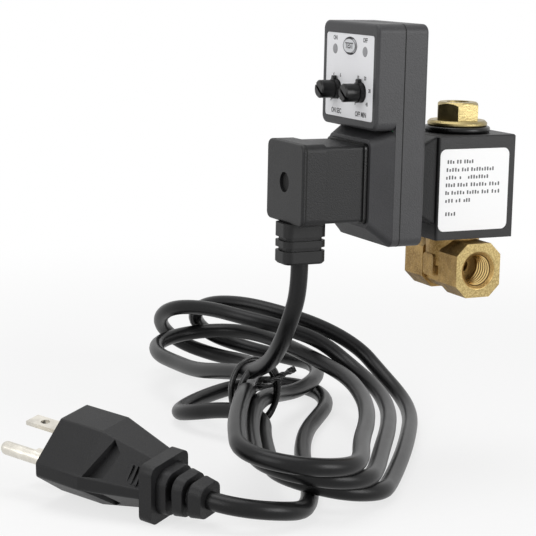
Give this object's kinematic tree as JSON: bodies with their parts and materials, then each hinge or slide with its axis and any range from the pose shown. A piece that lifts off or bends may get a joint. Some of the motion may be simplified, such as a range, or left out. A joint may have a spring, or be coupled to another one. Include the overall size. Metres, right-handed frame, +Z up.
{
  "type": "automatic drain valve",
  "caption": "Solenoid drain valve with plug-in electronic timer, cable connector and a tied mains lead, for emptying condensate from compressed-air tanks and filters",
  "frame": {"origin": "centre of the inlet port, on its axis, where the thread begins inside the lead-in cone", "axes": "+Z up along the valve stem, +Y out of the inlet port along the flow axis, -X towards the timer and the cable connector"},
  "size_m": [0.2065, 0.2437, 0.1606],
  "materials": {
    "brass": "sand-textured forging with machined port faces",
    "stainless": "turned",
    "steel": "plated",
    "yellow_zinc": "yellow zinc plated, dull",
    "copper": "enamelled wire",
    "nickel": "nickel plated, slightly dull",
    "seal_rubber": "glossy black rubber",
    "coil_plastic": "fine grained black moulding",
    "bobbin_plastic": "natural nylon",
    "case_plastic": "fine grained black moulding",
    "board": "green solder mask",
    "component_plastic": "moulded component",
    "capacitor_sleeve": "shrink sleeve",
    "lamp_lens": "frosted grey lens",
    "connector_plastic": "fine grained black moulding",
    "cord_plastic": "moulded black",
    "cord_jacket": "satin black jacket",
    "tie_plastic": "shiny black tie",
    "plug_plastic": "moulded black, fine grain",
    "knob_plastic": "black nylon",
    "button_plastic": "light grey button under the label film"
  },
  "bodies": {
    "valve_body": {"valve_body": "brass", "armature_tube": "stainless", "tube_o_ring": "seal_rubber", "fixed_core": "stainless", "shading_ring": "copper", "nut_seal_ring": "seal_rubber", "nut_washer": "yellow_zinc", "coil_nut": "yellow_zinc", "plunger_spring": "stainless"},
    "plunger": {"plunger": "stainless", "plunger_seal": "seal_rubber"},
    "coil_unit": {"coil_housing": "coil_plastic", "coil_bobbin": "bobbin_plastic", "coil_winding": "copper", "coil_yoke": "steel", "coil_terminals": "nickel", "coil_gasket": "seal_rubber", "timer_rear_shell": "case_plastic", "timer_front_shell": "case_plastic", "circuit_board": "board", "setting_pots": "component_plastic", "on_led": "lamp_lens", "off_led": "lamp_lens", "test_switch": "component_plastic", "dropper_capacitor": "component_plastic", "smoothing_capacitor": "capacitor_sleeve", "triac": "component_plastic", "timer_chip": "component_plastic", "timer_sockets": "nickel", "timer_pins": "nickel", "connector_gasket": "seal_rubber", "connector_housing": "connector_plastic", "connector_contacts": "nickel", "fixing_screw": "steel", "strain_relief": "cord_plastic", "cord_lead": "cord_jacket", "cord_coil": "cord_jacket", "cord_tail": "cord_jacket", "cord_tie": "tie_plastic", "plug_body": "plug_plastic", "plug_blades": "nickel", "ground_pin": "nickel", "plug_strain_relief": "plug_plastic"},
    "on_time_knob": {"on_time_knob": "knob_plastic"},
    "off_time_knob": {"off_time_knob": "knob_plastic"},
    "test_button": {"test_button": "button_plastic"}
  },
  "joints": [
    {"name": "plunger_lift", "type": "slide", "parent": "valve_body", "child": "plunger", "axis": [0, 0, 1], "range_m": [0, 0.0018], "stiffness_N_per_m": 300, "springref_m": -0.008, "deforming": ["plunger_spring"]},
    {"name": "coil_swivel", "type": "hinge", "parent": "valve_body", "child": "coil_unit", "pos_m": [0, -0.0168, 0.029], "axis": [0, 0, 1], "range_deg": [-180, 180]},
    {"name": "on_time_set", "type": "hinge", "parent": "coil_unit", "child": "on_time_knob", "pos_m": [-0.045, -0.0079, 0.0629], "axis": [1, 0, 0], "range_deg": [-140, 140]},
    {"name": "off_time_set", "type": "hinge", "parent": "coil_unit", "child": "off_time_knob", "pos_m": [-0.045, -0.0257, 0.0629], "axis": [1, 0, 0], "range_deg": [-140, 140]},
    {"name": "test_press", "type": "slide", "parent": "coil_unit", "child": "test_button", "axis": [1, 0, 0], "range_m": [0, 0.0005], "stiffness_N_per_m": 1500, "springref_m": -0.0005}
  ]
}
